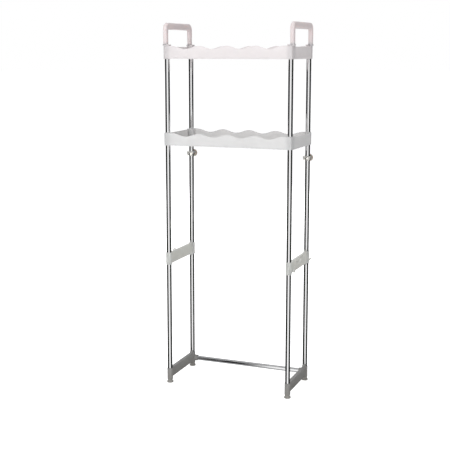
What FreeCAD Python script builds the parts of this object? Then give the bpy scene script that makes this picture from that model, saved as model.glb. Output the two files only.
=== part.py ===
"""Over-the-toilet storage rack, as a parametric FreeCAD document.

Two moulded trays with wavy front and rear rims stand on four legs. Each leg is three plain
steel tubes that plug into moulded sockets: a base bracket at the floor, a side rail at knee
height, the middle tray and the top tray. Two carrying handles plug into the top tray, one
tube ties the two base brackets together behind, four screw feet level the rack, and a
suction cup on each rear leg holds it to the wall.

Units are millimetres. +X is the rack's right side, +Y points to the wall and +Z is up. The
origin is on the floor, at the centre of the rack's footprint: from the front of the feet to
the wall, and from side to side.
"""
import FreeCAD, Part
import math
import os

import Sketcher
from FreeCAD import Rotation, Vector

os.makedirs("parts", exist_ok=True)
doc = FreeCAD.newDocument("StorageRack")

# ---------------------------------------------------------------------------- driving sizes

SIZES = {
    # overall
    "legSpanX": 500,          # left leg axis to right leg axis
    "legSpanY": 228,          # front leg axis to rear leg axis
    "lowerSight": 431,        # bare leg between base socket and side rail
    "middleSight": 429,       # bare leg between side rail and middle tray
    "upperSight": 285,        # bare leg between middle tray and top tray
    # tubes and the fit of a tube in a socket
    "tubeDia": 19,
    "tubeWall": 0.8,
    "fitGap": 0.15,           # radial gap round a tube in its socket
    "septum": 6,              # solid web between the two sockets of a collar
    # trays
    "trayTall": 49,
    "columnSkin": 2.85,       # plastic between a leg socket and the flat sides of its column
    "columnRound": 9,         # outer corner radius of a column
    "trayWall": 3,
    "trayFloor": 3,
    "trayRim": 3.5,           # depth of the open underside below the floor
    "ribThick": 2.4,
    "crossRibs": 3,           # ribs that run front to back below the floor
    "longRibs": 2,            # ribs that run from side to side below the floor
    "waveDepth": 12,
    "waveCount": 4,
    "waveInset": 23,          # leg axis to the last crest
    "sideDrop": 3.5,          # side walls are this much lower than the columns
    # handles
    "handleTall": 88,
    "handleThick": 16,
    "handleWide": 23,         # leg of the handle, front to back
    "gripTall": 26,
    "handleShift": 6,         # handle stands outboard of the leg axis by this
    "handleRound": 20,
    "gripRound": 6,
    "shoeTall": 6,
    "shoeProud": 1.2,         # shoe is this much larger than the leg it carries
    # side rails
    "railTall": 47,
    "railSkin": 2.35,         # plastic round a leg socket in a rail's collar
    "railThick": 9,
    "railInset": 1.5,         # web starts this far above the collar's lower end
    "railRiser": 9,           # radius of the fillets that run up and down the legs
    "riserSink": 0.4,         # such a fillet is sunk this far into the web and the socket
    "eyeSkin": 4.8,           # plastic round the eye's hole
    "eyeHole": 4.4,
    "eyeThick": 5,
    "eyeClear": 0.8,          # a rod as thick as the hole passes the collars by this
    "eyeBack": 86,            # eye from the front leg axis
    "eyeDrop": 6,             # eye's centre below the collar's upper end
    "eyeRootTall": 8.4,
    "lobeDia": 24,
    "lobeBack": 55,
    "lobeThick": 2,
    "lobeDrop": 4,            # lobe's lowest point below the collar's lower end
    "slotTall": 12,
    "slotWide": 4,
    "slotAhead": 52,          # slot's front edge from the rear leg axis
    "slotDrop": 2,            # slot's upper end below the collar's upper end
    "slotDeep": 5,
    "prongDia": 6,
    "prongReach": 22,         # prong tip from the leg axis, sideways
    "prongRise": 9,
    "prongUp": 11,            # prong root above the collar's lower end
    "prongSink": 1.5,         # prong starts this far inside the collar's wall
    # base brackets
    "baseTop": 59,            # upper end of a base socket above the floor
    "baseSkin": 1.85,         # plastic round a leg socket in a base bracket
    "baseSeat": 24,           # the lowest tube stands at this height
    "baseThick": 14,
    "baseWebLow": 22,
    "baseRiser": 10,
    "crossUp": 36,            # axis of the rear cross tube above the floor
    "crossSkin": 2.85,        # plastic round the cross tube in its collar
    "crossCollarLong": 12,    # cross collar from the socket's wall, inwards
    "crossRoot": 3.5,         # cross collar starts this far inboard of the leg axis
    "crossGrip": 10,          # length of cross tube inside its collar
    # levelling feet
    "footDia": 26,
    "footTall": 13.4,
    "footEdge": 5,            # height of the foot's upright edge
    "footNeckDia": 18,
    "footGap": 0.4,           # foot below its bracket when screwed right in
    "footScrewDia": 8,
    "footScrewLong": 30,
    "footScrewSeat": 4,       # screw starts this far above the floor
    "runGap": 0.06,           # radial running clearance
    # wall anchors
    "anchorBelow": 54,        # cup axis below the middle tray
    "clipTall": 18,
    "clipWall": 2.8,
    "clipMouth": 13,
    "clipLip": 17,            # lips reach this far from the leg axis
    "clipLipThick": 2.2,
    "neckDia": 13,
    "neckLong": 8.44,         # end of the clip's neck from the bore round the leg
    "cupTall": 10,            # cup from the end of the clip's neck to the wall plane
    "cupDia": 29,
    "cupStemDia": 8,
    "cupStemLong": 4,
    "cupLip": 1.2,            # thickness of the cup at its rim
    "cupBody": 3,             # thickness of the cup at its middle
    "cupHollow": 2.5,         # depth of the hollow that grips the wall
}

sheet = doc.addObject("Spreadsheet::Sheet", "Sizes")
for row, (alias, number) in enumerate(SIZES.items(), start=1):
    sheet.set(f"A{row}", alias)
    sheet.set(f"B{row}", str(number))
    sheet.setAlias(f"B{row}", alias)
doc.recompute()


class Dim:
    """A length that knows its number and the spreadsheet expression it comes from."""

    def __init__(self, value, text):
        self.value = float(value)
        self.text = text

    def __add__(self, other):
        other = as_dim(other)
        return Dim(self.value + other.value, f"({self.text} + {other.text})")

    def __sub__(self, other):
        other = as_dim(other)
        return Dim(self.value - other.value, f"({self.text} - {other.text})")

    def __mul__(self, factor):
        return Dim(self.value * factor, f"({self.text} * {factor})")

    def __truediv__(self, divisor):
        return Dim(self.value / divisor, f"({self.text} / {divisor})")

    def __neg__(self):
        return Dim(-self.value, f"(0 - {self.text})")


def as_dim(number):
    return number if isinstance(number, Dim) else Dim(number, repr(float(number)))


def larger(first, second):
    return Dim(max(first.value, second.value), f"max({first.text}; {second.text})")


def size(alias):
    return Dim(sheet.get(alias), f"Sizes.{alias}")


S = {alias: size(alias) for alias in SIZES}
ZERO = as_dim(0)

# --------------------------------------------------------------------- places shared by parts

TUBE_R = S["tubeDia"] / 2
SOCKET_R = TUBE_R + S["fitGap"]
COLUMN_HALF = SOCKET_R + S["columnSkin"]
COLUMN_WIDE = COLUMN_HALF * 2
RAIL_COLLAR_R = SOCKET_R + S["railSkin"]
BASE_COLLAR_R = SOCKET_R + S["baseSkin"]
CROSS_COLLAR_R = SOCKET_R + S["crossSkin"]

CLIP_BORE_R = TUBE_R + S["runGap"]
NECK_REACH = CLIP_BORE_R + S["neckLong"]
CUP_REACH = NECK_REACH + S["cupTall"]

FRONT_REACH = larger(COLUMN_HALF, S["footDia"] / 2)
LEG_Y = {
    "front": FRONT_REACH - (S["legSpanY"] + FRONT_REACH + CUP_REACH) / 2,
    "rear": (S["legSpanY"] + FRONT_REACH + CUP_REACH) / 2 - CUP_REACH,
}
TRAY_Y = (LEG_Y["front"] + LEG_Y["rear"]) / 2
LEG_X = {"left": -(S["legSpanX"] / 2), "right": S["legSpanX"] / 2}
SIDE_SIGN = {"left": -1, "right": 1}

RAIL_Z = S["baseTop"] + S["lowerSight"]
MIDDLE_TRAY_Z = RAIL_Z + S["railTall"] + S["middleSight"]
TOP_TRAY_Z = MIDDLE_TRAY_Z + S["trayTall"] + S["upperSight"]
HANDLE_Z = TOP_TRAY_Z + S["trayTall"]
BASE_Z = S["footTall"] + S["footGap"]
ANCHOR_Z = MIDDLE_TRAY_Z - S["anchorBelow"]

RAIL_SOCKET = (S["railTall"] - S["septum"]) / 2
TRAY_SOCKET = (S["trayTall"] - S["septum"]) / 2
CROSS_END = S["legSpanX"] / 2 - BASE_COLLAR_R - S["crossCollarLong"] + S["crossGrip"]

PAST = as_dim(1)      # cutters run past the faces they cut by this, and joined shapes sink in by it

# ------------------------------------------------------------------------------ small helpers


def bind(obj, prop, dim):
    obj.setExpression(prop, as_dim(dim).text)


def place(obj, x=0, y=0, z=0):
    for axis, dim in zip("xyz", (x, y, z)):
        bind(obj, f"Placement.Base.{axis}", dim)
    return obj


def box(name, low, lengths):
    obj = doc.addObject("Part::Box", name)
    for prop, dim in zip(("Length", "Width", "Height"), lengths):
        bind(obj, prop, dim)
    return place(obj, *low)


def centred_box(name, centre_x, centre_y, low_z, lengths):
    long_x, long_y, tall = (as_dim(length) for length in lengths)
    low = (as_dim(centre_x) - long_x / 2, as_dim(centre_y) - long_y / 2, low_z)
    return box(name, low, (long_x, long_y, tall))


ALONG = {
    "+X": Rotation(Vector(0, 1, 0), 90),
    "-X": Rotation(Vector(0, 1, 0), -90),
    "+Y": Rotation(Vector(1, 0, 0), -90),
    "+Z": Rotation(),
}


def cylinder(name, radius, length, start, along="+Z"):
    obj = doc.addObject("Part::Cylinder", name)
    bind(obj, "Radius", radius)
    bind(obj, "Height", length)
    obj.Placement.Rotation = ALONG[along]
    return place(obj, *start)


def fuse(name, shapes):
    obj = doc.addObject("Part::MultiFuse", name)
    obj.Shapes = shapes
    obj.Refine = True
    return obj


def fuse_in_turn(name, base, added):
    """Fuse added onto base one after another, for shapes whose round walls cross."""
    for number, shape in enumerate(added, start=1):
        obj = doc.addObject("Part::Fuse", f"{name}_{number}")
        obj.Base = base
        obj.Tool = shape
        obj.Refine = True
        base = obj
    return base


def cut(name, base, tools):
    obj = doc.addObject("Part::Cut", name)
    obj.Base = base
    obj.Tool = tools[0] if len(tools) == 1 else fuse(f"{name}_tools", tools)
    obj.Refine = True
    return obj


def fillet(name, base, radius, wanted):
    """Round the edges of base for which wanted(edge) is true."""
    doc.recompute()
    obj = doc.addObject("Part::Fillet", name)
    obj.Base = base
    numbers = [n for n, edge in enumerate(base.Shape.Edges, start=1) if wanted(edge)]
    obj.Edges = [(n, radius.value, radius.value) for n in numbers]
    return obj


def runs_along(edge, axis):
    """True for a straight edge that is parallel to the x, y or z axis."""
    if not isinstance(edge.Curve, Part.Line):
        return False
    return abs(getattr(edge.Curve.Direction, axis)) > 0.999


def upright(edge):
    return runs_along(edge, "z")


def origin_plane(body, role):
    return next(feature for feature in body.Origin.OriginFeatures if feature.Role == role)


def new_sketch(body, name, role):
    sketch = body.newObject("Sketcher::SketchObject", name)
    sketch.AttachmentSupport = [(origin_plane(body, role), "")]
    sketch.MapMode = "FlatFace"
    return sketch


def add_circle(sketch, radius):
    index = sketch.addGeometry(Part.Circle(Vector(), Vector(0, 0, 1), radius.value), False)
    sketch.addConstraint(Sketcher.Constraint("Coincident", index, 3, -1, 1))
    number = sketch.addConstraint(Sketcher.Constraint("Radius", index, radius.value))
    bind(sketch, f"Constraints[{number}]", radius)


def add_outline(sketch, corners):
    """A closed outline of straight lines through corners, each coordinate bound to its size."""
    points = [Vector(u.value, v.value, 0) for u, v in corners]
    count = len(points)
    segments = [Part.LineSegment(points[n], points[(n + 1) % count]) for n in range(count)]
    lines = [sketch.addGeometry(segment, False) for segment in segments]
    for n, line in enumerate(lines):
        sketch.addConstraint(Sketcher.Constraint("Coincident", line, 2, lines[(n + 1) % count], 1))
    for line, (u, v) in zip(lines, corners):
        for kind, dim, axis in (("DistanceX", u, -2), ("DistanceY", v, -1)):
            if dim.value == 0:
                sketch.addConstraint(Sketcher.Constraint("PointOnObject", line, 1, axis))
            else:
                number = sketch.addConstraint(Sketcher.Constraint(kind, -1, 1, line, 1, dim.value))
                bind(sketch, f"Constraints[{number}]", dim)


def revolved(label, corners, about):
    """A turned body: corners are (radius, height) pairs and about is the sketch axis."""
    body = doc.addObject("PartDesign::Body", label)
    sketch = new_sketch(body, f"{label}_profile", "XZ_Plane")
    add_outline(sketch, corners)
    turn = body.newObject("PartDesign::Revolution", f"{label}_turn")
    turn.Profile = sketch
    turn.ReferenceAxis = (sketch, [about])
    turn.Angle = 360
    return body


# --------------------------------------------------------------------------------- leg tubes


def tube(label, length, x, y, z, along="+Z"):
    """A length of plain steel tube, from its lower or left end."""
    body = doc.addObject("PartDesign::Body", label)
    sketch = new_sketch(body, f"{label}_section", "XY_Plane")
    add_circle(sketch, TUBE_R)
    add_circle(sketch, TUBE_R - S["tubeWall"])
    pad = body.newObject("PartDesign::Pad", f"{label}_pad")
    pad.Profile = sketch
    bind(pad, "Length", length)
    body.Placement.Rotation = ALONG[along]
    return place(body, x, y, z)


def leg_tubes():
    """Three tubes a leg, each standing on one septum and carrying the next."""
    stretches = {
        "lower": (S["baseSeat"], RAIL_Z + RAIL_SOCKET),
        "middle": (RAIL_Z + S["railTall"] - RAIL_SOCKET, MIDDLE_TRAY_Z + TRAY_SOCKET),
        "upper": (MIDDLE_TRAY_Z + S["trayTall"] - TRAY_SOCKET, TOP_TRAY_Z + TRAY_SOCKET),
    }
    return [
        tube(f"{row}_{side}_{stretch}_tube", high - low, LEG_X[side], LEG_Y[row], low)
        for side in LEG_X
        for row in LEG_Y
        for stretch, (low, high) in stretches.items()
    ]


def cross_tube():
    """The tube that ties the two base brackets together behind."""
    return tube("rear_cross_tube", CROSS_END * 2, -CROSS_END, LEG_Y["rear"], S["crossUp"], "+X")


# ------------------------------------------------------------------------------------- trays


def wave_cutter(name, low_z, reach_y):
    """A block over the tray whose underside is the wavy rim, made of tangent arcs."""
    half_span = (S["legSpanX"] / 2 - S["waveInset"]).value
    step = 2 * half_span / (2 * S["waveCount"].value)
    depth = S["waveDepth"].value
    sagitta = depth / 2
    radius = ((step / 2) ** 2 + sagitta ** 2) / (2 * sagitta)
    top = (low_z + S["trayTall"]).value

    def on_arc(centre_x, bend, offset):
        """Point on the arc of the crest (bend 1) or valley (bend -1) centred at centre_x."""
        extreme = top if bend > 0 else top - depth
        sink = radius - math.sqrt(radius ** 2 - offset ** 2)
        return Vector(centre_x + offset, 0, extreme - bend * sink)

    edges = []
    last = int(2 * S["waveCount"].value)
    for k in range(last + 1):
        centre_x = -half_span + k * step
        bend = 1 if k % 2 == 0 else -1
        low = 0 if k == 0 else -step / 2
        high = 0 if k == last else step / 2
        points = [on_arc(centre_x, bend, offset) for offset in (low, (low + high) / 2, high)]
        edges.append(Part.Arc(*points).toShape())
    start, end = Vector(-half_span, 0, top), Vector(half_span, 0, top)
    lift = Vector(0, 0, depth)
    edges.append(Part.makeLine(end, end + lift))
    edges.append(Part.makeLine(end + lift, start + lift))
    edges.append(Part.makeLine(start + lift, start))
    face = Part.Face(Part.Wire(edges))
    obj = doc.addObject("Part::Feature", name)
    obj.Shape = face.extrude(Vector(0, 2 * reach_y.value, 0))
    obj.Placement.Base = Vector(0, TRAY_Y.value - reach_y.value, 0)
    return obj


def tray(label, low_z):
    """A moulded tray: outer wall, raised floor with ribs below, and a socket column a corner."""
    outer_x = S["legSpanX"] + COLUMN_WIDE
    outer_y = S["legSpanY"] + COLUMN_WIDE
    inner_x = outer_x - S["trayWall"] * 2
    inner_y = outer_y - S["trayWall"] * 2
    floor_z = low_z + S["trayRim"]
    inside_z = floor_z + S["trayFloor"]

    block = centred_box(f"{label}_block", 0, TRAY_Y, low_z, (outer_x, outer_y, S["trayTall"]))
    block = fillet(f"{label}_rounded", block, S["columnRound"], upright)
    inside = centred_box(f"{label}_inside", 0, TRAY_Y, inside_z, (inner_x, inner_y, S["trayTall"]))
    underside_size = (inner_x, inner_y, S["trayRim"] + PAST)
    underside = centred_box(f"{label}_underside", 0, TRAY_Y, low_z - PAST, underside_size)
    shell = cut(f"{label}_shell", block, [inside, underside])

    added = [shell]
    cross_ribs, long_ribs = int(S["crossRibs"].value), int(S["longRibs"].value)
    for n in range(1, cross_ribs + 1):
        x = LEG_X["left"] + S["legSpanX"] * n / (cross_ribs + 1)
        rib_size = (S["ribThick"], inner_y, S["trayRim"])
        added.append(centred_box(f"{label}_cross_rib_{n}", x, TRAY_Y, low_z, rib_size))
    for n in range(1, long_ribs + 1):
        y = LEG_Y["front"] + S["legSpanY"] * n / (long_ribs + 1)
        rib_size = (inner_x, S["ribThick"], S["trayRim"])
        added.append(centred_box(f"{label}_long_rib_{n}", 0, y, low_z, rib_size))
    for side, x in LEG_X.items():
        for row, y in LEG_Y.items():
            name = f"{label}_column_{row}_{side}"
            column = centred_box(name, x, y, low_z, (COLUMN_WIDE, COLUMN_WIDE, S["trayTall"]))
            added.append(fillet(f"{name}_rounded", column, S["columnRound"], upright))
    solid = fuse(f"{label}_solid", added)

    wall_top = low_z + S["trayTall"]
    drop_size = (outer_x + PAST * 2, S["legSpanY"] - COLUMN_WIDE, S["sideDrop"] + PAST)
    removed = [
        wave_cutter(f"{label}_wave", low_z, outer_y),
        centred_box(f"{label}_side_drop", 0, TRAY_Y, wall_top - S["sideDrop"], drop_size),
    ]
    for side, x in LEG_X.items():
        for row, y in LEG_Y.items():
            name = f"{label}_socket_{row}_{side}"
            depth = TRAY_SOCKET + PAST
            removed.append(cylinder(f"{name}_lower", SOCKET_R, depth, (x, y, low_z - PAST)))
            removed.append(cylinder(f"{name}_upper", SOCKET_R, depth, (x, y, wall_top - TRAY_SOCKET)))
    return cut(label, solid, removed)


# ----------------------------------------------------------------------------------- handles


def handle(side):
    """An inverted U over the tray's short side, with a shoe and a plug at each leg."""
    label = f"handle_{side}"
    sign = SIDE_SIGN[side]
    centre_x = LEG_X[side] + S["handleShift"] * sign
    outer_y = S["legSpanY"] + S["handleWide"]
    inner_y = S["legSpanY"] - S["handleWide"]

    def upper_corner(edge):
        return runs_along(edge, "x") and edge.CenterOfMass.z > (HANDLE_Z + PAST).value

    block_size = (S["handleThick"], outer_y, S["handleTall"])
    block = centred_box(f"{label}_block", centre_x, TRAY_Y, HANDLE_Z, block_size)
    block = fillet(f"{label}_bow", block, S["handleRound"], upper_corner)
    opening_size = (S["handleThick"] + PAST * 2, inner_y, S["handleTall"] - S["gripTall"] + PAST)
    opening = centred_box(f"{label}_gap", centre_x, TRAY_Y, HANDLE_Z - PAST, opening_size)
    opening = fillet(f"{label}_gap_rounded", opening, S["gripRound"], upper_corner)
    loop = cut(f"{label}_loop", block, [opening])

    inboard = COLUMN_HALF - S["shoeProud"]
    outboard = S["handleShift"] + S["handleThick"] / 2 + S["shoeProud"]
    shoe_centre = LEG_X[side] + (outboard - inboard) * sign / 2
    added = [loop]
    for row, y in LEG_Y.items():
        shoe_size = (inboard + outboard, S["handleWide"] + S["shoeProud"] * 2, S["shoeTall"])
        added.append(centred_box(f"{label}_shoe_{row}", shoe_centre, y, HANDLE_Z, shoe_size))
        plug_start = (LEG_X[side], y, HANDLE_Z - TRAY_SOCKET)
        added.append(cylinder(f"{label}_plug_{row}", TUBE_R, TRAY_SOCKET + PAST, plug_start))
    return fuse(label, added)


# -------------------------------------------------------------------------------- side rails


def riser(name, side, y, z, towards_y, towards_z, radius, thick):
    """A concave fillet between a web and a leg, filling the corner at (y, z)."""
    low_y = y if towards_y > 0 else y - radius
    low_z = z if towards_z > 0 else z - radius
    block = box(f"{name}_block", (LEG_X[side] - thick / 2, low_y, low_z), (thick, radius, radius))
    start = (LEG_X[side] - thick / 2 - PAST, y + radius * towards_y, z + radius * towards_z)
    hollow = cylinder(f"{name}_hollow", radius, thick + PAST * 2, start, "+X")
    return cut(name, block, [hollow])


def risers(label, side, levels, radius, thick):
    """The fillets of one web: levels lists (height, +1 above or -1 below)."""
    made = []
    for level, towards_z in levels:
        for row, towards_y in (("front", 1), ("rear", -1)):
            name = f"{label}_riser_{row}_{'upper' if towards_z > 0 else 'lower'}"
            y = LEG_Y[row] + (SOCKET_R - S["riserSink"]) * towards_y
            z = level - S["riserSink"] * towards_z
            made.append(riser(name, side, y, z, towards_y, towards_z, radius, thick))
    return made


def side_rail(side):
    """Two collars joined by a flat web, with a rod eye, a slot and a hook prong outboard."""
    label = f"side_rail_{side}"
    sign = SIDE_SIGN[side]
    outward = "+X" if sign > 0 else "-X"
    x = LEG_X[side]
    front, rear = LEG_Y["front"], LEG_Y["rear"]
    top = RAIL_Z + S["railTall"]
    web_low = RAIL_Z + S["railInset"]
    face_x = x + S["railThick"] * sign / 2

    web_size = (S["railThick"], S["legSpanY"], top - web_low)
    added = [box(f"{label}_web", (x - S["railThick"] / 2, front, web_low), web_size)]
    for row, y in LEG_Y.items():
        added.append(cylinder(f"{label}_collar_{row}", RAIL_COLLAR_R, S["railTall"], (x, y, RAIL_Z)))
    added += risers(label, side, ((top, 1), (web_low, -1)), S["railRiser"], S["railThick"])

    eye_reach = RAIL_COLLAR_R + S["eyeHole"] / 2 + S["eyeClear"]
    eye_x = x + eye_reach * sign
    eye_y = front + S["eyeBack"] - S["eyeThick"] / 2
    eye_z = top - S["eyeDrop"]
    eye_r = S["eyeHole"] / 2 + S["eyeSkin"]
    added.append(cylinder(f"{label}_eye", eye_r, S["eyeThick"], (eye_x, eye_y, eye_z), "+Y"))
    root_long = eye_reach - S["railThick"] / 2 + PAST
    root_low_z = eye_z - S["eyeRootTall"] / 2
    root_size = (root_long, S["eyeThick"], S["eyeRootTall"])
    root_x = eye_x - root_long * sign / 2
    added.append(centred_box(f"{label}_eye_root", root_x, front + S["eyeBack"], root_low_z, root_size))

    lobe_z = RAIL_Z - S["lobeDrop"] + S["lobeDia"] / 2
    lobe_start = (face_x - PAST * sign, front + S["lobeBack"], lobe_z)
    added.append(cylinder(f"{label}_lobe", S["lobeDia"] / 2, S["lobeThick"] + PAST, lobe_start, outward))
    added.append(prong(label, side))
    solid = fuse(f"{label}_solid", added)

    hole_start = (eye_x, eye_y - PAST, eye_z)
    hole_long = S["eyeThick"] + PAST * 2
    removed = [cylinder(f"{label}_eye_hole", S["eyeHole"] / 2, hole_long, hole_start, "+Y")]
    slot_low = (face_x - S["slotDeep"] / 2, rear - S["slotAhead"], top - S["slotDrop"] - S["slotTall"])
    removed.append(box(f"{label}_slot", slot_low, (S["slotDeep"], S["slotWide"], S["slotTall"])))
    for row, y in LEG_Y.items():
        name = f"{label}_socket_{row}"
        depth = RAIL_SOCKET + S["railRiser"] + PAST
        lower_start = (x, y, RAIL_Z - S["railRiser"] - PAST)
        removed.append(cylinder(f"{name}_lower", SOCKET_R, depth, lower_start))
        removed.append(cylinder(f"{name}_upper", SOCKET_R, depth, (x, y, top - RAIL_SOCKET)))
    return cut(label, solid, removed)


def prong(label, side):
    """A short round hook that leaves the rear collar sideways and rises."""
    sign = SIDE_SIGN[side]
    radius = S["prongDia"] / 2
    root_x = LEG_X[side] + (RAIL_COLLAR_R - S["prongSink"]) * sign
    tip_x = LEG_X[side] + (S["prongReach"] - radius) * sign
    root_z = RAIL_Z + S["prongUp"]
    root = Vector(root_x.value, LEG_Y["rear"].value, root_z.value)
    tip = Vector(tip_x.value, LEG_Y["rear"].value, (root_z + S["prongRise"]).value)
    shaft = Part.makeCylinder(radius.value, (tip - root).Length, root, tip - root)
    ball = Part.makeSphere(radius.value, tip)
    obj = doc.addObject("Part::Feature", f"{label}_prong")
    obj.Shape = shaft.fuse(ball)
    return obj


# ----------------------------------------------------------------------------- base brackets


def base_bracket(side):
    """Two leg sockets and the web between them, with a collar for the cross tube."""
    label = f"base_bracket_{side}"
    sign = SIDE_SIGN[side]
    x = LEG_X[side]
    front, rear = LEG_Y["front"], LEG_Y["rear"]
    socket_tall = S["baseTop"] - BASE_Z

    web_size = (S["baseThick"], S["legSpanY"], S["baseTop"] - S["baseWebLow"])
    added = [box(f"{label}_web", (x - S["baseThick"] / 2, front, S["baseWebLow"]), web_size)]
    for row, y in LEG_Y.items():
        added.append(cylinder(f"{label}_collar_{row}", BASE_COLLAR_R, socket_tall, (x, y, BASE_Z)))
    added += risers(label, side, ((S["baseTop"], 1),), S["baseRiser"], S["baseThick"])
    collar_end = CROSS_END - S["crossGrip"]
    collar_root = S["legSpanX"] / 2 - S["crossRoot"]
    collar_x = collar_root if sign > 0 else -collar_end
    collar_start = (collar_x, rear, S["crossUp"])
    collar_long = collar_root - collar_end
    added.append(cylinder(f"{label}_cross_collar", CROSS_COLLAR_R, collar_long, collar_start, "-X"))
    solid = fuse_in_turn(f"{label}_solid", added[0], added[1:])

    bore_x = CROSS_END if sign > 0 else -collar_end + PAST
    bore_start = (bore_x, rear, S["crossUp"])
    removed = [cylinder(f"{label}_cross_socket", SOCKET_R, S["crossGrip"] + PAST, bore_start, "-X")]
    for row, y in LEG_Y.items():
        depth = S["baseTop"] - S["baseSeat"] + S["baseRiser"] + PAST
        removed.append(cylinder(f"{label}_socket_{row}", SOCKET_R, depth, (x, y, S["baseSeat"])))
        screw_r = S["footScrewDia"] / 2 + S["runGap"]
        removed.append(cylinder(f"{label}_screw_hole_{row}", screw_r, S["baseSeat"], (x, y, 0)))
    return cut(label, solid, removed)


# ---------------------------------------------------------------------------- levelling feet


def foot(row, side):
    """A flared foot moulded round the head of a threaded stem."""
    where = f"{row}_{side}"
    foot_r = S["footDia"] / 2
    neck_r = S["footNeckDia"] / 2
    hole_r = S["footScrewDia"] / 2 + S["runGap"]
    corners = [
        (ZERO, ZERO),
        (foot_r, ZERO),
        (foot_r, S["footEdge"]),
        (neck_r, S["footTall"]),
        (hole_r, S["footTall"]),
        (hole_r, S["footScrewSeat"]),
        (ZERO, S["footScrewSeat"]),
    ]
    pad = revolved(f"foot_pad_{where}", corners, "V_Axis")
    place(pad, LEG_X[side], LEG_Y[row], 0)
    start = (LEG_X[side], LEG_Y[row], S["footScrewSeat"])
    screw = cylinder(f"foot_screw_{where}", S["footScrewDia"] / 2, S["footScrewLong"], start)
    return [pad, screw]


# ------------------------------------------------------------------------------ wall anchors


def anchor_clip(side):
    """A clip-on ring for the rear leg, open sideways, with a neck that holds the cup."""
    label = f"anchor_clip_{side}"
    x, y = LEG_X[side], LEG_Y["rear"]
    ring_r = CLIP_BORE_R + S["clipWall"]
    low_z = ANCHOR_Z - S["clipTall"] / 2
    added = [
        cylinder(f"{label}_ring", ring_r, S["clipTall"], (x, y, low_z)),
        cylinder(f"{label}_neck", S["neckDia"] / 2, NECK_REACH, (x, y, ANCHOR_Z), "+Y"),
    ]
    for n in (-1, 1):
        lip_y = y + (S["clipMouth"] + S["clipLipThick"]) * n / 2
        lip_size = (S["clipLip"], S["clipLipThick"], S["clipTall"])
        name = f"{label}_lip_{'front' if n < 0 else 'rear'}"
        added.append(centred_box(name, x - S["clipLip"] / 2, lip_y, low_z, lip_size))
    solid = fuse(f"{label}_solid", added)
    mouth_size = (S["clipLip"] + PAST, S["clipMouth"], S["clipTall"] + PAST * 2)
    mouth_x = x - (S["clipLip"] + PAST) / 2
    stem_r = S["cupStemDia"] / 2 + S["runGap"]
    stem_start = (x, y + NECK_REACH - S["cupStemLong"], ANCHOR_Z)
    removed = [
        cylinder(f"{label}_bore", CLIP_BORE_R, S["clipTall"] + PAST * 2, (x, y, low_z - PAST)),
        centred_box(f"{label}_mouth", mouth_x, y, low_z - PAST, mouth_size),
        cylinder(f"{label}_stem_hole", stem_r, S["cupStemLong"] + PAST, stem_start, "+Y"),
    ]
    return cut(label, solid, removed)


def suction_cup(side):
    """A soft cup whose hollow faces the wall and whose stem sits in the clip's neck."""
    stem_r = S["cupStemDia"] / 2
    neck_r = S["neckDia"] / 2
    cup_r = S["cupDia"] / 2
    hollow_z = CUP_REACH - S["cupHollow"]
    corners = [
        (ZERO, NECK_REACH - S["cupStemLong"]),
        (stem_r, NECK_REACH - S["cupStemLong"]),
        (stem_r, NECK_REACH),
        (neck_r, NECK_REACH),
        (neck_r, hollow_z - S["cupBody"]),
        (cup_r, CUP_REACH - S["cupLip"]),
        (cup_r, CUP_REACH),
        (cup_r - S["cupLip"], CUP_REACH),
        (neck_r / 2, hollow_z),
        (ZERO, hollow_z),
    ]
    cup = revolved(f"suction_cup_{side}", corners, "V_Axis")
    cup.Placement.Rotation = ALONG["+Y"]
    return place(cup, LEG_X[side], LEG_Y["rear"], ANCHOR_Z)


# ----------------------------------------------------------------------- build, check, export

parts = [tray("middle_tray", MIDDLE_TRAY_Z), tray("top_tray", TOP_TRAY_Z), cross_tube()]
parts += leg_tubes()
for side in LEG_X:
    parts += [handle(side), side_rail(side), base_bracket(side), anchor_clip(side), suction_cup(side)]
    for row in LEG_Y:
        parts += foot(row, side)

doc.recompute()

for obj in doc.Objects:
    if {"Invalid", "Error"} & set(obj.State):
        raise RuntimeError(f"{obj.Label} failed to build: {obj.State}")
for part in parts:
    shape = part.Shape
    if shape.isNull() or not shape.isValid() or len(shape.Solids) != 1:
        raise RuntimeError(f"{part.Label} is not one valid solid")
    shape.exportStep(f"parts/{part.Label}.step")
    print(f"{part.Label:32s} {shape.Volume / 1000:9.2f} cm3  {shape.BoundBox}")
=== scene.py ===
"""Looks of the over-the-toilet storage rack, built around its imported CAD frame. Metres."""

import math

import bmesh
import bpy
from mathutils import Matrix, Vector


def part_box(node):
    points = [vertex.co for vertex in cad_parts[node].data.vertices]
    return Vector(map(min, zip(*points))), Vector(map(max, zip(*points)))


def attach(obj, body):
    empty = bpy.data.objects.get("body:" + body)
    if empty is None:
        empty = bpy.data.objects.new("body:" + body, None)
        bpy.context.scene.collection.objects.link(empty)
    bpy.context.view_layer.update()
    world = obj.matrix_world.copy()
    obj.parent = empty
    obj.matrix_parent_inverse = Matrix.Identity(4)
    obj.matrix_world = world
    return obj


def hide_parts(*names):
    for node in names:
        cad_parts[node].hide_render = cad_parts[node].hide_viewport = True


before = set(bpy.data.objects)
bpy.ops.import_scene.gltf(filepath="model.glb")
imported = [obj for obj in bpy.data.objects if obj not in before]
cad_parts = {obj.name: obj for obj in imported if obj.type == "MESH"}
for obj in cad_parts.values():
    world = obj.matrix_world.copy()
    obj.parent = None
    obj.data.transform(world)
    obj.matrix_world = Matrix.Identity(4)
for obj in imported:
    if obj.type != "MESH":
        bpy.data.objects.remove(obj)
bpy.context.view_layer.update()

SIDES = {"left": -1, "right": 1}
ROWS = ("front", "rear")
STRETCHES = ("lower", "middle", "upper")

# ------------------------------------------------------------------------------------ node helpers


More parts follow.
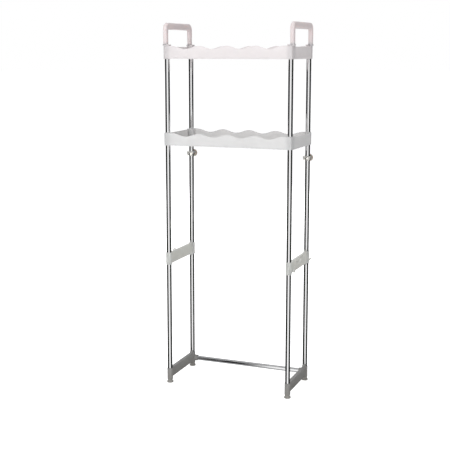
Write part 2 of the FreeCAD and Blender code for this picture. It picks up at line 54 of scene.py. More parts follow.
class Graph:
    """A small builder of shader nodes."""

    def __init__(self, material):
        self.tree = material.node_tree
        self.tree.nodes.clear()
        self.output = self.tree.nodes.new("ShaderNodeOutputMaterial")

    def node(self, kind, inputs=None, **settings):
        made = self.tree.nodes.new(kind)
        for key, value in settings.items():
            setattr(made, key, value)
        for key, value in (inputs or {}).items():
            socket = made.inputs[key]
            if isinstance(value, bpy.types.NodeSocket):
                self.tree.links.new(value, socket)
            else:
                socket.default_value = value
        return made

    def place(self, stretch=(1, 1, 1)):
        """Object coordinates, stretched along each axis."""
        coords = self.node("ShaderNodeTexCoord").outputs["Object"]
        if stretch == (1, 1, 1):
            return coords
        return self.node("ShaderNodeMapping", {"Vector": coords, "Scale": stretch}).outputs["Vector"]

    def noise(self, scale, detail=3.0, roughness=0.55, stretch=(1, 1, 1), distortion=0.0):
        inputs = {"Vector": self.place(stretch), "Scale": scale, "Detail": detail,
                  "Roughness": roughness, "Distortion": distortion}
        return self.node("ShaderNodeTexNoise", inputs).outputs["Fac"]

    def spread(self, value, low, high, to_low, to_high):
        inputs = {"Value": value, "From Min": low, "From Max": high, "To Min": to_low, "To Max": to_high}
        return self.node("ShaderNodeMapRange", inputs).outputs["Result"]

    def blend(self, factor, first, second):
        mix = self.node("ShaderNodeMix", data_type="RGBA")
        for socket, value in ((mix.inputs[0], factor), (mix.inputs[6], first), (mix.inputs[7], second)):
            if isinstance(value, bpy.types.NodeSocket):
                self.tree.links.new(value, socket)
            elif socket is mix.inputs[0]:
                socket.default_value = value
            else:
                socket.default_value = (*value, 1)
        return mix.outputs[2]

    def add(self, first, second):
        return self.node("ShaderNodeMath", {0: first, 1: second}, operation="ADD").outputs[0]

    def bump(self, height, strength, distance, normal=None):
        inputs = {"Height": height, "Strength": strength, "Distance": distance}
        if normal is not None:
            inputs["Normal"] = normal
        return self.node("ShaderNodeBump", inputs).outputs["Normal"]

    def surface(self, **inputs):
        named = {key.replace("_", " "): value for key, value in inputs.items()}
        shader = self.node("ShaderNodeBsdfPrincipled", named)
        self.tree.links.new(shader.outputs[0], self.output.inputs[0])
        return shader


# Noise scales below count cells to the metre, and bump and scatter depths are in metres.
# The colour and heights below paint shade low down: the plastic is darkened towards the floor, fully up to
# the first height and not at all above the second, with a ragged edge.
LOW_SHADE_COLOUR = (0.20, 0.18, 0.15)
LOW_SHADE_FULL, LOW_SHADE_END, LOW_SHADE_RAGGED = 0.005, 0.07, 0.02    # heights above the floor
MILKY_RADIUS, MILKY_DEPTH = (1.0, 0.95, 0.92), 0.016
RUBBER_DEPTH = 0.004
PLASTIC_IOR, RUBBER_IOR, CLEAR_IOR = 1.49, 1.45, 1.46
CLEAR_SHARE = 0.9


def new_material(name):
    material = bpy.data.materials.new(name)
    material.use_nodes = True
    return material, Graph(material)


def scaled(colour, factor):
    return tuple(min(channel * factor, 1.0) for channel in colour)


def moulded_plastic(name, colour, rough, grain_depth, mottle=0.03, low_shade=0.0, milky=0.0):
    """Moulded plastic: slow tone changes, fine grain, duller scuffs, painted shade low down, milky depth."""
    material, g = new_material(name)
    tone = g.spread(g.noise(14, 4), 0.3, 0.7, 0, 1)
    base = g.blend(tone, scaled(colour, 1 - mottle), scaled(colour, 1 + mottle))
    specks = g.spread(g.noise(420, 2, 0.6), 0.60, 0.72, 0, 0.35)
    base = g.blend(specks, base, scaled(colour, 0.93))
    # painted shade: the colour is blended towards a brownish dark near the floor
    if low_shade:
        height = g.node("ShaderNodeSeparateXYZ", {"Vector": g.place()}).outputs["Z"]
        ragged = g.add(height, g.spread(g.noise(60, 4), 0, 1, -LOW_SHADE_RAGGED, LOW_SHADE_RAGGED))
        base = g.blend(g.spread(ragged, LOW_SHADE_FULL, LOW_SHADE_END, low_shade, 0), base, LOW_SHADE_COLOUR)
    scuffs = g.spread(g.noise(90, 6, 0.7, (1, 0.25, 3), 0.8), 0.52, 0.72, 0, 0.16)
    smear = g.spread(g.noise(22, 3), 0.3, 0.7, rough - 0.04, rough + 0.05)
    grain = g.bump(g.noise(1500, 3, 0.6), 0.35, grain_depth)
    grain = g.bump(g.noise(45, 2), 0.25, 0.0004, grain)
    shader = g.surface(Base_Color=base, Roughness=g.add(smear, scuffs), Normal=grain, IOR=PLASTIC_IOR)
    shader.inputs["Subsurface Weight"].default_value = milky
    shader.inputs["Subsurface Radius"].default_value = MILKY_RADIUS
    shader.inputs["Subsurface Scale"].default_value = MILKY_DEPTH
    return material


def polished_steel(name, colour, rough, stretch):
    """Polished stainless steel with faint lines along the tube and a few finger smears."""
    material, g = new_material(name)
    lines = g.noise(900, 4, 0.7, stretch)
    tone = g.blend(g.spread(lines, 0.3, 0.7, 0, 1), scaled(colour, 0.95), colour)
    smears = g.spread(g.noise(30, 5, 0.65, distortion=1.2), 0.50, 0.75, 0, 0.10)
    streaks = g.spread(lines, 0.3, 0.7, rough - 0.02, rough + 0.03)
    drawn = g.bump(lines, 0.025, 0.00002)
    g.surface(Base_Color=tone, Metallic=1.0, Roughness=g.add(streaks, smears), Normal=drawn)
    return material


def soft_rubber(name, colour, rough, transmission, subsurface):
    """Soft clear-grey rubber with flow marks and a dusty bloom."""
    material, g = new_material(name)
    bloom = g.spread(g.noise(160, 4), 0.45, 0.75, 0, 0.5)
    base = g.blend(bloom, colour, scaled(colour, 1.25))
    skin = g.bump(g.noise(700, 3), 0.2, 0.0002)
    sheen = g.spread(g.noise(90, 3), 0.3, 0.7, rough - 0.06, rough + 0.08)
    shader = g.surface(Base_Color=base, Roughness=sheen, Normal=skin, IOR=RUBBER_IOR)
    shader.inputs["Transmission Weight"].default_value = transmission
    shader.inputs["Subsurface Weight"].default_value = subsurface
    shader.inputs["Subsurface Scale"].default_value = RUBBER_DEPTH
    return material


def clear_plastic(name, colour, rough):
    """Clear, slightly smoky moulded plastic with flow marks and a few dull scuffs."""
    material, g = new_material(name)
    flow = g.spread(g.noise(60, 4, stretch=(1, 1, 2.5)), 0.3, 0.7, 0, 1)
    base = g.blend(flow, scaled(colour, 0.94), scaled(colour, 1.04))
    scuffs = g.spread(g.noise(240, 5, 0.7), 0.55, 0.75, 0, 0.18)
    haze = g.spread(g.noise(40, 3), 0.3, 0.7, rough - 0.03, rough + 0.05)
    skin = g.bump(g.noise(320, 3), 0.15, 0.0001)
    shader = g.surface(Base_Color=base, Roughness=g.add(haze, scuffs), Normal=skin, IOR=CLEAR_IOR)
    shader.inputs["Transmission Weight"].default_value = CLEAR_SHARE
    return material


SATIN, COARSE, COARSEST = 0.00004, 0.00008, 0.00010    # depths of the moulded grain
LEG_LINES, CROSS_LINES, NO_LINES = (1, 1, 0.012), (0.012, 1, 1), (1, 1, 1)
TUBE_COLOUR, TUBE_ROUGH = (0.86, 0.86, 0.865), 0.085

MATERIALS = {
    "tray_plastic": moulded_plastic("tray_plastic", (0.655, 0.65, 0.645), 0.38, SATIN, milky=0.35),
    "top_tray_plastic": moulded_plastic("top_tray_plastic", (0.735, 0.69, 0.69), 0.38, SATIN, milky=0.35),
    "handle_plastic": moulded_plastic("handle_plastic", (0.715, 0.65, 0.65), 0.40, SATIN, milky=1.0),
    "rail_plastic": moulded_plastic("rail_plastic", (0.61, 0.61, 0.575), 0.46, COARSE, milky=0.7),
    # painted shade: the base's grey is darkened to stand in for the shade it sits in low down, on top of the
    # painted shade towards the floor
    "base_plastic": moulded_plastic("base_plastic", (0.255, 0.251, 0.244), 0.50, COARSE,
                                    mottle=0.05, low_shade=0.35),
    # the feet also carry the painted shade towards the floor
    "foot_plastic": moulded_plastic("foot_plastic", (0.385, 0.385, 0.375), 0.55, COARSEST,
                                    mottle=0.05, low_shade=0.55),
    "tube_steel": polished_steel("tube_steel", TUBE_COLOUR, TUBE_ROUGH, LEG_LINES),
    "cross_steel": polished_steel("cross_steel", TUBE_COLOUR, TUBE_ROUGH, CROSS_LINES),
    "screw_steel": polished_steel("screw_steel", (0.62, 0.61, 0.58), 0.30, NO_LINES),
    "clip_plastic": clear_plastic("clip_plastic", (0.84, 0.83, 0.80), 0.08),
    "cup_rubber": soft_rubber("cup_rubber", (0.50, 0.46, 0.40), 0.32, 0.35, 0.3),
}

# ---------------------------------------------------------------------------------- mesh helpers


ROUND = 72           # points round a turned piece
AXIS_R = 0.0001      # radius at which a turned profile closes on its axis
WELD, FLAT = 2e-6, 0.6             # distance and degrees below which CAD mesh points are one, or flat
SHARP, EASE_STEPS = 28, 3          # degrees from which an edge is eased, and the steps across it


def finished(name, bm, slot, body, nodes, material=None, smooth_to=40):
    """Turn a bmesh into a shown piece that rides on a body and stands for CAD nodes."""
    bmesh.ops.recalc_face_normals(bm, faces=bm.faces)
    mesh = bpy.data.meshes.new(name)
    bm.to_mesh(mesh)
    bm.free()
    for face in mesh.polygons:
        face.use_smooth = True
    mesh.set_sharp_from_angle(angle=math.radians(smooth_to))
    piece = bpy.data.objects.new(name, mesh)
    bpy.context.scene.collection.objects.link(piece)
    mesh.materials.append(MATERIALS[material or slot])
    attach(piece, body)
    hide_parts(*nodes)
    return piece


def eased(node, name, slot, body, ease):
    """A CAD node's shape with its hard edges eased to a small radius."""
    bm = bmesh.new()
    bm.from_mesh(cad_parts[node].data)
    bmesh.ops.remove_doubles(bm, verts=bm.verts, dist=WELD)
    bmesh.ops.dissolve_limit(bm, angle_limit=math.radians(FLAT), verts=bm.verts, edges=bm.edges)
    piece = finished(name, bm, slot, body, [node], smooth_to=180)
    bevel = piece.modifiers.new("eased_edges", "BEVEL")
    bevel.width = ease
    bevel.segments = EASE_STEPS
    bevel.limit_method = "ANGLE"
    bevel.angle_limit = math.radians(SHARP)
    bevel.harden_normals = True
    bevel.miter_outer = "MITER_ARC"


def joined(bm, rings, closed_ends=(False, False), loop=False):
    """Skin a row of point rings; a ring is a list of points and all have the same length."""
    rows = [[bm.verts.new(point) for point in ring] for ring in rings]
    count = len(rows[0])
    pairs = list(zip(rows, rows[1:])) + ([(rows[-1], rows[0])] if loop else [])
    for low, high in pairs:
        for k in range(count):
            n = (k + 1) % count
            bm.faces.new((low[k], low[n], high[n], high[k]))
    for wanted, row in zip(closed_ends, (rows[0], rows[-1])):
        if wanted:
            bm.faces.new(row)


def turned(bm, profile, centre, axis="Z", count=ROUND, loop=False):
    """Turn (radius, height) points about an axis through centre; loop closes the profile on itself."""
    rings = []
    for radius, height in profile:
        ring = []
        for k in range(count):
            angle = math.tau * k / count
            u, v = radius * math.cos(angle), radius * math.sin(angle)
            offset = {"Z": (u, v, height), "X": (height, u, v), "Y": (v, height, u)}[axis]
            ring.append(Vector(centre) + Vector(offset))
        rings.append(ring)
    joined(bm, rings, (not loop, not loop), loop)


def arc(centre_u, centre_v, radius, start, end, steps):
    """Points of an arc; start and end are degrees."""
    angles = [math.radians(start + (end - start) * k / steps) for k in range(steps + 1)]
    return [(centre_u + radius * math.cos(a), centre_v + radius * math.sin(a)) for a in angles]


def rounded_box(bm, low, high, radius, steps=4):
    made = bmesh.ops.create_cube(bm, size=1)["verts"]
    low, high = Vector(low), Vector(high)
    for vert in made:
        vert.co = Vector(lo + (hi - lo) * (co + 0.5) for lo, hi, co in zip(low, high, vert.co))
    edges = list({edge for vert in made for edge in vert.link_edges})
    bmesh.ops.bevel(bm, geom=edges, offset=radius, segments=steps, profile=0.5, affect="EDGES")


def middle_of(node):
    low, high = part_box(node)
    return (low + high) / 2


# ------------------------------------------------------------------------------------- the tubes


TUBE_WALL, TUBE_LIP = 0.0008, 0.0003


def steel_tube(node, name, axis="Z"):
    """A drawn tube whose cut ends are rounded over."""
    low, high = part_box(node)
    centre = (low + high) / 2
    size = high - low
    half, radius = (size.z / 2, size.x / 2) if axis == "Z" else (size.x / 2, size.z / 2)
    rim = half - TUBE_LIP
    profile = arc(radius - TUBE_LIP, rim, TUBE_LIP, 0, 90, 3)
    profile += arc(radius - TUBE_WALL + TUBE_LIP, rim, TUBE_LIP, 90, 180, 3)
    profile += [(r, -h) for r, h in reversed(profile)]
    bm = bmesh.new()
    turned(bm, profile, centre, axis, loop=True)
    material = "tube_steel" if axis == "Z" else "cross_steel"
    finished(name, bm, "tube_steel", "frame", [node], material, 50)


for side in SIDES:
    for row in ROWS:
        for stretch in STRETCHES:
            steel_tube(f"{row}_{side}_{stretch}_tube", f"leg_{row}_{side}_{stretch}")
steel_tube("rear_cross_tube", "cross_tube", "X")

# ------------------------------------------------------------------------------------- the trays

LEG_X = round(middle_of("front_right_lower_tube").x, 6)
LEG_Y = {row: middle_of(f"{row}_left_lower_tube").y for row in ROWS}
TRAY_Y = (LEG_Y["front"] + LEG_Y["rear"]) / 2
LEG_SPAN = LEG_Y["rear"] - LEG_Y["front"]
SOCKET_R, SOCKET_DEEP, SOCKET_LEAD = 0.00965, 0.0215, 0.0005
COLUMN, COLUMN_EDGE, COLUMN_LIFT = 0.025, 0.0010, 0.0002
WALL, WALL_FOOT, FILLET = 0.003, 0.0006, 0.0028
WALL_LOOPS = (0.012, 0.022)        # heights of two loops of points on the flat wall below the waves
FLOOR_TOP, FLOOR_BOTTOM = 0.0065, 0.0035
FLOOR_LAP = 0.0012                 # gap from the wall to the floor slab, which the fillet covers
WAVES, WAVE_END, WAVE_DEPTH = 4, 0.227, 0.012
WAVE_STEP = 2 * WAVE_END / WAVES
SIDE_DROP, DROP_EASE = 0.0035, 0.007
CORNER, CORNER_STEPS, OUTLINE_STEP = 0.009, 12, 0.0026
RIB_HALF, RIB_EDGE = 0.0012, 0.0005


def tray_outline(low, high):
    """(point, outward normal) pairs round the tray's outer outline, anticlockwise."""
    corners = ((high.x, high.y, 0), (low.x, high.y, 90), (low.x, low.y, 180), (high.x, low.y, 270))
    points = []
    for n, (x, y, start) in enumerate(corners):
        cx = x - CORNER * (1 if x > 0 else -1)
        cy = y - CORNER * (1 if y == high.y else -1)
        for k in range(CORNER_STEPS + 1):
            angle = math.radians(start + 90 * k / CORNER_STEPS)
            normal = Vector((math.cos(angle), math.sin(angle), 0))
            points.append((Vector((cx, cy, 0)) + normal * CORNER, normal))
        along_x = n in (0, 2)
        length = (high.x - low.x if along_x else high.y - low.y) - 2 * CORNER
        steps = round(length / OUTLINE_STEP)
        start_point, normal = points[-1]
        forward = Vector((-normal.y, normal.x, 0))
        points += [(start_point + forward * (length * k / steps), normal) for k in range(1, steps)]
    return points


def rim_height(point, normal, tall, centre_y, half_y):
    """Height of the wall's top above the tray's underside."""
    if abs(normal.y) > 0.999 and abs(point.x) < WAVE_END:
        return tall - WAVE_DEPTH / 2 * (1 - math.cos(math.tau * (point.x + WAVE_END) / WAVE_STEP))
    if abs(normal.x) > 0.999:
        into = half_y - COLUMN - abs(point.y - centre_y)
        share = min(max(into / DROP_EASE, 0), 1)
        return tall - SIDE_DROP * share * share * (3 - 2 * share)
    return tall


def wall_section(rim):
    """(inset, height) points round the wall's section, from the outer foot up and over the rim."""
    half = WALL / 2
    sunk = FLOOR_TOP - 0.001
    points = arc(WALL_FOOT, WALL_FOOT, WALL_FOOT, 270, 180, 3)
    points += [(0, height) for height in WALL_LOOPS]
    points += arc(half, rim - half, half, 180, 0, 10)
    points += [(WALL, WALL_LOOPS[1])]
    points += arc(WALL + FILLET, FLOOR_TOP + FILLET, FILLET, 180, 270, 5)
    points += [(WALL + FILLET, sunk), (WALL, sunk)]
    points += arc(WALL - WALL_FOOT, WALL_FOOT, WALL_FOOT, 0, -90, 3)
    return points


def circle(radius):
    """(x, y) points of a circle, matched to the points of column_outline."""
    angles = [math.tau * (k + 0.5) / ROUND for k in range(ROUND)]
    return [(radius * math.cos(angle), radius * math.sin(angle)) for angle in angles]


def column_outline(shrink, sign_x, sign_y):
    """(x, y) points of a rounded square, pulled in by shrink except on the two sides in the wall."""
    quarter, round_from, round_to = math.pi / 2, 0.22, 0.78
    half = COLUMN / 2
    core, wall_side = half - CORNER, half - WALL / 2
    ring = []
    for k in range(ROUND):
        angle = math.tau * (k + 0.5) / ROUND
        direction = Vector((math.cos(angle), math.sin(angle)))
        share = (angle % quarter) / quarter
        base = Vector((math.copysign(core, direction.x), math.copysign(core, direction.y)))
        if round_from < share < round_to:
            turn = math.radians(90 * (share - round_from) / (round_to - round_from))
            turn += math.floor(angle / quarter) * quarter
            normal = Vector((math.cos(turn), math.sin(turn)))
        else:
            normal = Vector((round(direction.x), round(direction.y)))
            hit = direction * (core / max(abs(direction.x), abs(direction.y)))
            base = Vector((base.x, hit.y)) if normal.x else Vector((hit.x, base.y))
        outward = max(normal.x * sign_x, normal.y * sign_y)
        inward = min(max(1 - 4 * outward, 0), 1)
        point = base + normal * (CORNER - shrink * inward)
        ring.append((min(point.x * sign_x, wall_side) * sign_x, min(point.y * sign_y, wall_side) * sign_y))
    return ring


def column(bm, x, y, low_z, tall):
    """A socket column, open at both ends, whose two outer sides lie inside the wall."""
    signs = (1 if x > 0 else -1, 1 if y > TRAY_Y else -1)
    bore, flared = circle(SOCKET_R), circle(SOCKET_R + SOCKET_LEAD)
    body, foot_ring = column_outline(0.0, *signs), column_outline(COLUMN_EDGE, *signs)
    stack = [(circle(AXIS_R), SOCKET_DEEP), (bore, SOCKET_DEEP), (bore, SOCKET_LEAD),
             (flared, COLUMN_LIFT), (foot_ring, COLUMN_LIFT), (body, COLUMN_EDGE), (body, tall - COLUMN_EDGE)]
    for angle in (0.4, 0.8, 1.2, math.pi / 2):
        ring = column_outline(COLUMN_EDGE * (1 - math.cos(angle)), *signs)
        stack.append((ring, tall - COLUMN_EDGE + COLUMN_EDGE * math.sin(angle)))
    stack += [(flared, tall), (bore, tall - SOCKET_LEAD), (bore, tall - SOCKET_DEEP),
              (circle(AXIS_R), tall - SOCKET_DEEP)]
    rings = [[Vector((x + u, y + v, low_z + z)) for u, v in ring] for ring, z in stack]
    joined(bm, rings, (True, True))


def tray(node, material):
    """A tray: walls with a wavy front and rear rim, a ribbed floor and a socket column at each corner."""
    low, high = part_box(node)
    tall = high.z - low.z
    centre_y, half_y = (low.y + high.y) / 2, (high.y - low.y) / 2
    bm = bmesh.new()
    rings = []
    for point, normal in tray_outline(low, high):
        section = wall_section(rim_height(point, normal, tall, centre_y, half_y))
        rings.append([point - normal * inset + Vector((0, 0, low.z + height)) for inset, height in section])
    joined(bm, rings, loop=True)
    inside = WALL + FLOOR_LAP
    rounded_box(bm, (low.x + inside, low.y + inside, low.z + FLOOR_BOTTOM),
                (high.x - inside, high.y - inside, low.z + FLOOR_TOP), 0.0003, 1)
    for n in (-1, 0, 1):
        x = LEG_X * n / 2
        rounded_box(bm, (x - RIB_HALF, low.y + inside, low.z + 0.0002),
                    (x + RIB_HALF, high.y - inside, low.z + FLOOR_BOTTOM + 0.001), RIB_EDGE, 2)
    for n in (-1, 1):
        y = TRAY_Y + LEG_SPAN * n / 6
        rounded_box(bm, (low.x + inside, y - RIB_HALF, low.z + 0.0003),
                    (high.x - inside, y + RIB_HALF, low.z + FLOOR_BOTTOM + 0.0008), RIB_EDGE, 2)
    for sign in SIDES.values():
        for y in LEG_Y.values():
            column(bm, sign * LEG_X, y, low.z, tall)
    finished(f"{node}_moulding", bm, "tray_plastic", "frame", [node], material)


tray("middle_tray", "tray_plastic")
tray("top_tray", "top_tray_plastic")

# ----------------------------------------------------------------------------------- the handles


BOW_START = 0.003                              # the bow's foot above the tray, inside the shoe
LEG_STEPS, BEND_STEPS, BAR_STEPS = 6, 14, 10
BOW_WIDE, BOW_THICK, BOW_GRIP, BOW_EDGE = 0.023, 0.016, 0.026, 0.0068
BOW_OUTER_R, BOW_INNER_R = 0.026, 0.007
BOW_SHIFT = 0.006                              # the bow's middle outboard of the legs
SHOE_TALL, SHOE_PROUD, SHOE_EDGE = 0.006, 0.0012, 0.0016
PLUG_R, PLUG_EDGE, PLUG_TOP = 0.0095, 0.0008, 0.002


def bow_line(reach, top, bend_r):
    """(y, z) points of one edge of the bow, from the rear foot over the bar to the front foot."""
    rise = top - bend_r - BOW_START
    up = [(reach, BOW_START + rise * k / LEG_STEPS) for k in range(LEG_STEPS)]
    up += arc(reach - bend_r, top - bend_r, bend_r, 0, 90, BEND_STEPS)
    bar = [((reach - bend_r) * (1 - 2 * k / BAR_STEPS), top) for k in range(1, BAR_STEPS)]
    return up + bar + [(-y, z) for y, z in reversed(up)]


def handle(side):
    """A soft-edged bow over the tray's short side, on two shoes with plugs below."""
    node = f"handle_{side}"
    sign = SIDES[side]
    base_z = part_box("top_tray")[1].z
    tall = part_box(node)[1].z - base_z
    centre = Vector((sign * (LEG_X + BOW_SHIFT), TRAY_Y, base_z))
    outer_line = bow_line((LEG_SPAN + BOW_WIDE) / 2, tall, BOW_OUTER_R)
    inner_line = bow_line((LEG_SPAN - BOW_WIDE) / 2, tall - BOW_GRIP, BOW_INNER_R)
    rings = []
    for (oy, oz), (iy, iz) in zip(outer_line, inner_line):
        middle = Vector((0, (oy + iy) / 2, (oz + iz) / 2))
        reach = Vector((0, oy - iy, oz - iz)) / 2
        core_u, core_v, direction = reach.length - BOW_EDGE, BOW_THICK / 2 - BOW_EDGE, reach.normalized()
        section = []
        for cu, cv, start in ((1, 1, 0), (-1, 1, 90), (-1, -1, 180), (1, -1, 270)):
            section += arc(cu * core_u, cv * core_v, BOW_EDGE, start, start + 90, 6)
        rings.append([centre + middle + direction * u + Vector((v, 0, 0)) for u, v in section])
    bm = bmesh.new()
    joined(bm, rings, (True, True))
    inboard, outboard = COLUMN / 2 - SHOE_PROUD, BOW_SHIFT + BOW_THICK / 2 + SHOE_PROUD
    low_x, high_x = sorted((sign * (LEG_X - inboard), sign * (LEG_X + outboard)))
    half_y = BOW_WIDE / 2 + SHOE_PROUD
    plug = [(AXIS_R, -SOCKET_DEEP)]
    plug += arc(PLUG_R - PLUG_EDGE, -SOCKET_DEEP + PLUG_EDGE, PLUG_EDGE, -90, 0, 3)
    plug += [(PLUG_R, PLUG_TOP), (AXIS_R, PLUG_TOP)]
    for y in LEG_Y.values():
        rounded_box(bm, (low_x, y - half_y, base_z + 0.0001),
                    (high_x, y + half_y, base_z + SHOE_TALL), SHOE_EDGE)
        turned(bm, plug, (sign * LEG_X, y, base_z), count=48)
    finished(f"handle_moulding_{side}", bm, "handle_plastic", "frame", [node])


# ------------------------------------------------------------------------------ feet and anchors


PAD_HEEL, PAD_SHOULDER, PAD_SKIRT = 0.0008, 0.0006, 0.005     # two edge radii, height of the straight rim
PAD_NECK, PAD_HOLE, PAD_SEAT, PAD_SAG = 0.009, 0.00406, 0.004, 0.0004
FLARE_STEPS = 9
THREAD_CREST, THREAD_ROOT, THREAD_PITCH = 0.004, 0.00345, 0.00125
THREAD_AROUND, THREAD_PER_TURN = 36, 8
THREAD_RUNOUT, THREAD_END_CUT = 0.0012, 0.0004


def foot_pad(where):
    """The foot's pad, turned: a straight rim, a hollow flare up to the neck, and the stem's hole."""
    low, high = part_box(f"foot_pad_{where}")
    centre = Vector(((low.x + high.x) / 2, (low.y + high.y) / 2, 0))
    radius, tall = round((high.x - low.x) / 2, 6), round(high.z, 6)
    start_r, end_r = radius - PAD_SHOULDER, PAD_NECK - 0.0002
    profile = [(AXIS_R, 0), (radius * 0.5, 0)]
    profile += arc(radius - PAD_HEEL, PAD_HEEL, PAD_HEEL, -90, 0, 4)
    profile += arc(start_r, PAD_SKIRT - PAD_SHOULDER, PAD_SHOULDER, 0, 70, 3)
    for k in range(1, FLARE_STEPS):
        t = k / FLARE_STEPS
        flare_r = start_r + (end_r - start_r) * t - PAD_SAG * math.sin(math.pi * t)
        profile.append((flare_r, PAD_SKIRT + (tall - PAD_SKIRT - PAD_HEEL) * t))
    profile += arc(PAD_NECK - PAD_SHOULDER, tall - PAD_SHOULDER, PAD_SHOULDER, 10, 90, 3)
    profile += [(PAD_HOLE + 0.0003, tall), (PAD_HOLE, tall - 0.0003)]
    profile += [(PAD_HOLE, PAD_SEAT), (AXIS_R, PAD_SEAT)]
    bm = bmesh.new()
    turned(bm, profile, centre)
    finished(f"foot_{where}", bm, "foot_plastic", f"foot_{where}", [f"foot_pad_{where}"])


def foot_screw(where):
    """The foot's threaded stem: rings whose radius follows the thread and runs out at both ends."""
    centre = middle_of(f"foot_pad_{where}")
    low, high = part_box(f"foot_screw_{where}")
    long = high.z - low.z
    count = round(long / THREAD_PITCH * THREAD_PER_TURN)
    rings = []
    for n in range(count + 1):
        z = long * n / count
        full = min(z, long - z, THREAD_RUNOUT) / THREAD_RUNOUT
        ring = []
        for k in range(THREAD_AROUND):
            phase = (z / THREAD_PITCH - k / THREAD_AROUND) % 1
            flank = min(max(abs(phase - 0.5) * 2 * 1.35 - 0.15, 0), 1)
            r = THREAD_ROOT + (THREAD_CREST - THREAD_ROOT) * flank * full - THREAD_END_CUT * (1 - full)
            angle = math.tau * k / THREAD_AROUND
            ring.append(Vector((centre.x + r * math.cos(angle), centre.y + r * math.sin(angle), low.z + z)))
        rings.append(ring)
    bm = bmesh.new()
    joined(bm, rings, (True, True))
    finished(f"screw_{where}", bm, "screw_steel", f"foot_{where}", [f"foot_screw_{where}"], smooth_to=60)


CUP_LONG, CUP_STEM, CUP_NECK, CUP_R = 0.010, 0.004, 0.0065, 0.0145
CUP_LIP, CUP_HOLLOW, CUP_BELL = 0.0012, 0.0025, 0.0053      # the bell starts this far from the wall
BELL_STEPS, BELL_BEND, HOLLOW_BEND = 10, 1.7, 2.2


def suction_cup(side):
    """The anchor's cup, turned about the line to the wall: a stem, a grooved neck, a bell and a hollow."""
    low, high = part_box(f"suction_cup_{side}")
    centre = Vector(((low.x + high.x) / 2, LEG_Y["rear"], (low.z + high.z) / 2))
    reach = high.y - LEG_Y["rear"]
    neck_end, bell = reach - CUP_LONG, reach - CUP_BELL
    profile = [(AXIS_R, neck_end - 0.004), (CUP_STEM - 0.0004, neck_end - 0.004),
               (CUP_STEM, neck_end - 0.0036),
               (CUP_STEM, neck_end + 0.0001), (CUP_NECK - 0.0006, neck_end + 0.0001),
               (CUP_NECK, neck_end + 0.0007), (CUP_NECK, reach - 0.0072), (CUP_NECK - 0.0007, reach - 0.0066),
               (CUP_NECK - 0.0007, reach - 0.0060), (CUP_NECK + 0.0004, bell)]
    for k in range(1, BELL_STEPS + 1):
        t = k / BELL_STEPS
        profile.append((CUP_NECK + 0.0004 + (CUP_R - CUP_NECK - 0.0006) * t,
                        bell + (CUP_BELL - CUP_LIP) * (t ** BELL_BEND)))
    inner = CUP_R - CUP_LIP
    profile += [(CUP_R, reach - CUP_LIP * 0.6), (CUP_R - 0.0002, reach - 0.0001), (inner, reach)]
    profile += [(inner - (inner - AXIS_R) * t, reach - CUP_HOLLOW * (1 - (1 - t) ** HOLLOW_BEND))
                for t in (0.12, 0.25, 0.4, 0.55, 0.7, 0.85, 1.0)]
    bm = bmesh.new()
    turned(bm, profile, centre, "Y")
    finished(f"cup_{side}", bm, "cup_rubber", f"anchor_{side}", [f"suction_cup_{side}"])


MOULDING_EASE, CLIP_EASE = 0.0006, 0.0003
for side in SIDES:
    handle(side)
    eased(f"side_rail_{side}", f"rail_moulding_{side}", "rail_plastic", "frame", MOULDING_EASE)
    eased(f"base_bracket_{side}", f"base_moulding_{side}", "base_plastic", "frame", MOULDING_EASE)
    eased(f"anchor_clip_{side}", f"clip_moulding_{side}", "clip_plastic", f"anchor_{side}", CLIP_EASE)
    suction_cup(side)
    for row in ROWS:
        foot_pad(f"{row}_{side}")
        foot_screw(f"{row}_{side}")

# ----------------------------------------------------------------------- floor, light and camera

CAMERA_PLACE = (1.3485, -3.545, 1.331)
CAMERA_YAW = math.radians(21.65)
CAMERA_PITCH = math.radians(9.19)
LENS, SENSOR, SHIFT_Y = 77.33, 36, -0.04
WHITE = (1, 1, 1, 1)
FLOOR_R, FLOOR_GLOW, FLOOR_GLOW_SEEN = 60, 0.12, 0.70
DRUM_R, DRUM_REACH, DRUM_POINTS = 12.0, 10.0, 128
BRIGHT_FRONT, BRIGHT_BACK, DARK, DARKEST = 0.9, 1.05, 0.03, 0.02

camera = bpy.data.objects.new("camera", bpy.data.cameras.new("camera"))
bpy.context.scene.collection.objects.link(camera)
camera.location = CAMERA_PLACE
camera.rotation_euler = (math.pi / 2 - CAMERA_PITCH, 0, CAMERA_YAW)
camera.data.lens = LENS
camera.data.sensor_width = SENSOR
camera.data.shift_y = SHIFT_Y
bpy.context.scene.camera = camera


def stage_object(name, bm, material):
    mesh = bpy.data.meshes.new(name)
    bm.to_mesh(mesh)
    bm.free()
    mesh.materials.append(material)
    made = bpy.data.objects.new(name, mesh)
    bpy.context.scene.collection.objects.link(made)
    return made


def floor():
    """The white ground, which glows more for camera rays than for the light it gives the rack."""
    material, g = new_material("floor")
    tone = g.blend(g.spread(g.noise(1.5, 2), 0.3, 0.7, 0, 1), (0.93, 0.93, 0.93), (0.95, 0.95, 0.95))
    shader = g.surface(Base_Color=tone, Roughness=0.9)
    shader.inputs["Emission Color"].default_value = WHITE
    seen = g.node("ShaderNodeLightPath").outputs["Is Camera Ray"]
    glow = g.spread(seen, 0, 1, FLOOR_GLOW, FLOOR_GLOW_SEEN)
    g.tree.links.new(glow, shader.inputs["Emission Strength"])
    bm = bmesh.new()
    bmesh.ops.create_circle(bm, cap_ends=True, radius=FLOOR_R, segments=96)
    stage_object("floor", bm, material).visible_glossy = False


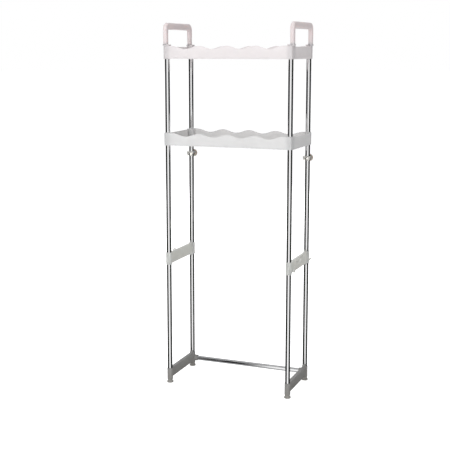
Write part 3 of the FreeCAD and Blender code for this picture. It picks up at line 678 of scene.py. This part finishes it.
def reflector_drum():
    """A wall of light that only glossy and transmitted rays see: bright front and back, dark sides."""
    material, g = new_material("reflector_drum")
    facing = math.atan2(CAMERA_PLACE[1], CAMERA_PLACE[0])
    faced = g.node("ShaderNodeMapping", {"Vector": g.place(), "Rotation": (0, 0, -facing)}).outputs["Vector"]
    around = g.node("ShaderNodeTexGradient", {"Vector": faced}, gradient_type="RADIAL").outputs["Fac"]
    ramp = g.node("ShaderNodeValToRGB", {"Fac": around})
    stops = ((0.0, BRIGHT_FRONT), (0.030, BRIGHT_FRONT), (0.050, DARK), (0.385, DARKEST),
             (0.410, BRIGHT_BACK), (0.582, BRIGHT_BACK), (0.607, DARK), (0.950, DARK), (0.970, BRIGHT_FRONT))
    points = ramp.color_ramp.elements
    while len(points) < len(stops):
        points.new(0.5)
    for point, (at, level) in zip(points, stops):
        point.position = at
        point.color = (level, level, level, 1)
    glow = g.node("ShaderNodeEmission", {"Color": ramp.outputs["Color"], "Strength": 1.0})
    g.tree.links.new(glow.outputs[0], g.output.inputs[0])
    bm = bmesh.new()
    angles = [math.tau * k / DRUM_POINTS for k in range(DRUM_POINTS)]
    joined(bm, [[(DRUM_R * math.cos(angle), DRUM_R * math.sin(angle), z) for angle in angles]
                for z in (-DRUM_REACH, DRUM_REACH)])
    made = stage_object("reflector_drum", bm, material)
    for ray in ("camera", "diffuse", "volume_scatter", "shadow"):
        setattr(made, f"visible_{ray}", False)


def area_light(name, place, aim, width, height, power):
    data = bpy.data.lights.new(name, "AREA")
    data.shape = "RECTANGLE"
    data.size, data.size_y = width, height
    data.energy = power
    light = bpy.data.objects.new(name, data)
    bpy.context.scene.collection.objects.link(light)
    light.location = place
    light.rotation_euler = (Vector(aim) - Vector(place)).to_track_quat("-Z", "Y").to_euler()
    light.visible_glossy = False


floor()
reflector_drum()
area_light("key", (-0.6, -3.6, 1.9), (0, 0, 0.9), 2.4, 2.4, 72)
area_light("side", (6.0, -1.6, 1.9), (0, 0, 1.1), 3.0, 3.0, 70)
area_light("back", (-1.5, 5.0, 2.4), (0, 0, 0.9), 3.0, 3.0, 110)
area_light("top", (0.0, 0.0, 3.6), (0, 0, 0), 3.5, 3.5, 32)



def studio_world():
    """A soft, slightly cool fill for the rack, and plain white for the camera."""
    world = bpy.data.worlds.new("studio")
    bpy.context.scene.world = world
    world.use_nodes = True
    tree = world.node_tree
    tree.nodes.clear()
    path = tree.nodes.new("ShaderNodeLightPath")
    choice = tree.nodes.new("ShaderNodeMixShader")
    out = tree.nodes.new("ShaderNodeOutputWorld")
    tree.links.new(path.outputs["Is Camera Ray"], choice.inputs[0])
    for socket, colour, strength in ((1, (0.97, 0.98, 1.0, 1), 0.4), (2, WHITE, 1.0)):
        background = tree.nodes.new("ShaderNodeBackground")
        background.inputs["Color"].default_value = colour
        background.inputs["Strength"].default_value = strength
        tree.links.new(background.outputs[0], choice.inputs[socket])
    tree.links.new(choice.outputs[0], out.inputs[0])


studio_world()
bpy.context.scene.view_settings.view_transform = "Standard"
